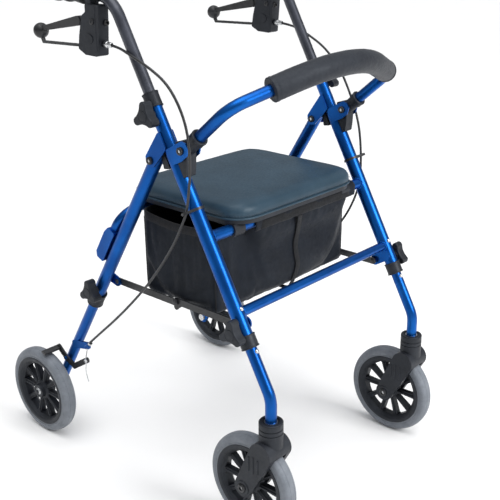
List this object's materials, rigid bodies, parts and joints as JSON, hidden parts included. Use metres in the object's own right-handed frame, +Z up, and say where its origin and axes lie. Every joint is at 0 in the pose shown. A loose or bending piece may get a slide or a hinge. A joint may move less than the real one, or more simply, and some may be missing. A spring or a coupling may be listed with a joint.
{
  "type": "rollator walker",
  "caption": "Folding rollator walker with swivel casters, push handles with loop brakes, a padded lift-up seat over a cloth bag, and a curved padded backrest.",
  "frame": {"origin": "on the floor, midway between the front and rear wheels and midway between the sides", "axes": "+Z up, the walker rolls forwards along -Y, +X to the user's left"},
  "size_m": [0.6054, 0.797, 0.9945],
  "materials": {
    "blue_paint": "gloss candy metallic",
    "graphite_paint": "satin metallic",
    "black_plastic": "fine moulded texture",
    "black_steel": "satin powder coat",
    "grip_rubber": "matte",
    "grey_tyre": "matte",
    "plated_steel": "bright plated",
    "nylon_cloth": "plain weave, coated",
    "webbing": "ribbed webbing",
    "seat_vinyl": "grained vinyl",
    "pad_foam": "skinned foam",
    "cable_sheath": "satin"
  },
  "bodies": {
    "frame": {"upright_left": "blue_paint", "upright_right": "blue_paint", "upper_cross_tube": "blue_paint", "lower_cross_tube": "blue_paint", "backrest_ears": "blue_paint", "rear_hinge_brackets": "blue_paint", "frame_collars": "black_plastic", "frame_bolts": "plated_steel", "cable_ties": "cable_sheath", "storage_bag": "nylon_cloth", "pull_strap": "webbing", "cables_upper": "cable_sheath", "cables_lower": "cable_sheath"},
    "backrest": {"backrest_bar": "blue_paint", "backrest_pad": "pad_foam", "backrest_elbows": "black_plastic"},
    "seat": {"seat_pad": "seat_vinyl", "seat_base": "black_plastic", "seat_clips": "black_plastic"},
    "rear_frame": {"rear_leg_left": "blue_paint", "rear_leg_right": "blue_paint", "rear_seat_bar": "blue_paint", "rear_bar_brackets": "blue_paint", "rear_collars": "black_plastic"},
    "front_links": {"front_links": "black_steel"},
    "rear_links": {"rear_links": "black_steel"},
    "handle_left": {"handle_tube_left": "graphite_paint", "grip_left": "grip_rubber", "brake_housing_left": "black_plastic"},
    "lever_left": {"brake_lever_left": "black_steel"},
    "handle_clamp_left": {"handle_knob_left": "black_plastic"},
    "front_leg_left": {"front_extension_left": "blue_paint"},
    "caster_left": {"caster_fork_left": "black_plastic", "caster_hardware_left": "plated_steel"},
    "front_wheel_left": {"front_hub_left": "black_plastic", "front_tyre_left": "grey_tyre"},
    "front_clamp_left": {"front_knob_left": "black_plastic"},
    "rear_foot_left": {"rear_extension_left": "blue_paint", "rear_axle_left": "plated_steel"},
    "rear_wheel_left": {"rear_hub_left": "black_plastic", "rear_tyre_left": "grey_tyre"},
    "brake_shoe_left": {"brake_arm_left": "black_steel"},
    "rear_clamp_left": {"rear_knob_left": "black_plastic"},
    "handle_right": {"handle_tube_right": "graphite_paint", "grip_right": "grip_rubber", "brake_housing_right": "black_plastic"},
    "lever_right": {"brake_lever_right": "black_steel"},
    "handle_clamp_right": {"handle_knob_right": "black_plastic"},
    "front_leg_right": {"front_extension_right": "blue_paint"},
    "caster_right": {"caster_fork_right": "black_plastic", "caster_hardware_right": "plated_steel"},
    "front_wheel_right": {"front_hub_right": "black_plastic", "front_tyre_right": "grey_tyre"},
    "front_clamp_right": {"front_knob_right": "black_plastic"},
    "rear_foot_right": {"rear_extension_right": "blue_paint", "rear_axle_right": "plated_steel"},
    "rear_wheel_right": {"rear_hub_right": "black_plastic", "rear_tyre_right": "grey_tyre"},
    "brake_shoe_right": {"brake_arm_right": "black_steel"},
    "rear_clamp_right": {"rear_knob_right": "black_plastic"}
  },
  "joints": [
    {"name": "fold", "type": "hinge", "parent": "frame", "child": "rear_frame", "pos_m": [0, -0.0675, 0.692], "axis": [-1, 0, 0], "range_deg": [0, 36], "deforming": ["storage_bag", "pull_strap", "cables_lower"]},
    {"name": "front_brace_fold", "type": "hinge", "parent": "frame", "child": "front_links", "pos_m": [0, -0.2485, 0.404], "axis": [1, 0, 0], "range_deg": [0, 50.54]},
    {"name": "rear_brace_fold", "type": "hinge", "parent": "rear_frame", "child": "rear_links", "pos_m": [0, 0.0865, 0.404], "axis": [-1, 0, 0], "range_deg": [0, 43.75]},
    {"name": "backrest_flip", "type": "hinge", "parent": "frame", "child": "backrest", "pos_m": [0, -0.14854, 0.723], "axis": [-1, 0, 0], "range_deg": [0, 70]},
    {"name": "seat_lift", "type": "hinge", "parent": "frame", "child": "seat", "pos_m": [0, -0.19233, 0.56678], "axis": [1, 0, 0], "range_deg": [0, 85]},
    {"name": "handle_height_left", "type": "slide", "parent": "frame", "child": "handle_left", "axis": [0, 0.484, 0.875], "range_m": [-0.08, 0.05], "deforming": ["cables_upper"]},
    {"name": "lever_squeeze_left", "type": "hinge", "parent": "handle_left", "child": "lever_left", "pos_m": [0.242, 0.072, 0.928], "axis": [1, 0, 0], "range_deg": [0, 12], "stiffness_Nm_per_rad": 1, "springref_deg": -2.86},
    {"name": "handle_knob_turn_left", "type": "hinge", "parent": "frame", "child": "handle_clamp_left", "pos_m": [0.255, -0.07631, 0.77652], "axis": [1, 0, 0], "range_deg": [0, 360]},
    {"name": "front_leg_height_left", "type": "slide", "parent": "frame", "child": "front_leg_left", "axis": [0, -0.484, -0.875], "range_m": [-0.025, 0.075]},
    {"name": "caster_swivel_left", "type": "hinge", "parent": "front_leg_left", "child": "caster_left", "pos_m": [0.237, -0.3435, 0.23], "axis": [0, 0, 1], "continuous": true},
    {"name": "front_wheel_spin_left", "type": "hinge", "parent": "caster_left", "child": "front_wheel_left", "pos_m": [0.237, -0.2985, 0.1], "axis": [1, 0, 0], "continuous": true},
    {"name": "front_knob_turn_left", "type": "hinge", "parent": "frame", "child": "front_clamp_left", "pos_m": [0.255, -0.27719, 0.41338], "axis": [1, 0, 0], "range_deg": [0, 360]},
    {"name": "rear_leg_height_left", "type": "slide", "parent": "rear_frame", "child": "rear_foot_left", "axis": [0, 0.5259, -0.8506], "range_m": [-0.025, 0.075]},
    {"name": "rear_wheel_spin_left", "type": "hinge", "parent": "rear_foot_left", "child": "rear_wheel_left", "pos_m": [0.282, 0.2985, 0.1], "axis": [1, 0, 0], "continuous": true},
    {"name": "brake_press_left", "type": "hinge", "parent": "rear_foot_left", "child": "brake_shoe_left", "pos_m": [0.2526, 0.246, 0.185], "axis": [-1, 0, 0], "range_deg": [0, 9]},
    {"name": "rear_knob_turn_left", "type": "hinge", "parent": "rear_frame", "child": "rear_clamp_left", "pos_m": [0.255, 0.12391, 0.38239], "axis": [1, 0, 0], "range_deg": [0, 360]},
    {"name": "handle_height_right", "type": "slide", "parent": "frame", "child": "handle_right", "axis": [0, 0.484, 0.875], "range_m": [-0.08, 0.05], "deforming": ["cables_upper"]},
    {"name": "lever_squeeze_right", "type": "hinge", "parent": "handle_right", "child": "lever_right", "pos_m": [-0.242, 0.072, 0.928], "axis": [1, 0, 0], "range_deg": [0, 12], "stiffness_Nm_per_rad": 1, "springref_deg": -2.86},
    {"name": "handle_knob_turn_right", "type": "hinge", "parent": "frame", "child": "handle_clamp_right", "pos_m": [-0.255, -0.07631, 0.77652], "axis": [1, 0, 0], "range_deg": [0, 360]},
    {"name": "front_leg_height_right", "type": "slide", "parent": "frame", "child": "front_leg_right", "axis": [0, -0.484, -0.875], "range_m": [-0.025, 0.075]},
    {"name": "caster_swivel_right", "type": "hinge", "parent": "front_leg_right", "child": "caster_right", "pos_m": [-0.237, -0.3435, 0.23], "axis": [0, 0, 1], "continuous": true},
    {"name": "front_wheel_spin_right", "type": "hinge", "parent": "caster_right", "child": "front_wheel_right", "pos_m": [-0.237, -0.2985, 0.1], "axis": [1, 0, 0], "continuous": true},
    {"name": "front_knob_turn_right", "type": "hinge", "parent": "frame", "child": "front_clamp_right", "pos_m": [-0.255, -0.27719, 0.41338], "axis": [1, 0, 0], "range_deg": [0, 360]},
    {"name": "rear_leg_height_right", "type": "slide", "parent": "rear_frame", "child": "rear_foot_right", "axis": [0, 0.5259, -0.8506], "range_m": [-0.025, 0.075]},
    {"name": "rear_wheel_spin_right", "type": "hinge", "parent": "rear_foot_right", "child": "rear_wheel_right", "pos_m": [-0.282, 0.2985, 0.1], "axis": [1, 0, 0], "continuous": true},
    {"name": "brake_press_right", "type": "hinge", "parent": "rear_foot_right", "child": "brake_shoe_right", "pos_m": [-0.2526, 0.246, 0.185], "axis": [-1, 0, 0], "range_deg": [0, 9]},
    {"name": "rear_knob_turn_right", "type": "hinge", "parent": "rear_frame", "child": "rear_clamp_right", "pos_m": [-0.255, 0.12391, 0.38239], "axis": [1, 0, 0], "range_deg": [0, 360]}
  ],
  "couplings": [
    {"joint": "front_brace_fold", "follows": "fold", "ratio": 1.4037},
    {"joint": "rear_brace_fold", "follows": "fold", "ratio": 1.215},
    {"joint": "brake_press_left", "follows": "lever_squeeze_left", "ratio": 0.6667},
    {"joint": "brake_press_right", "follows": "lever_squeeze_right", "ratio": 0.6667}
  ]
}
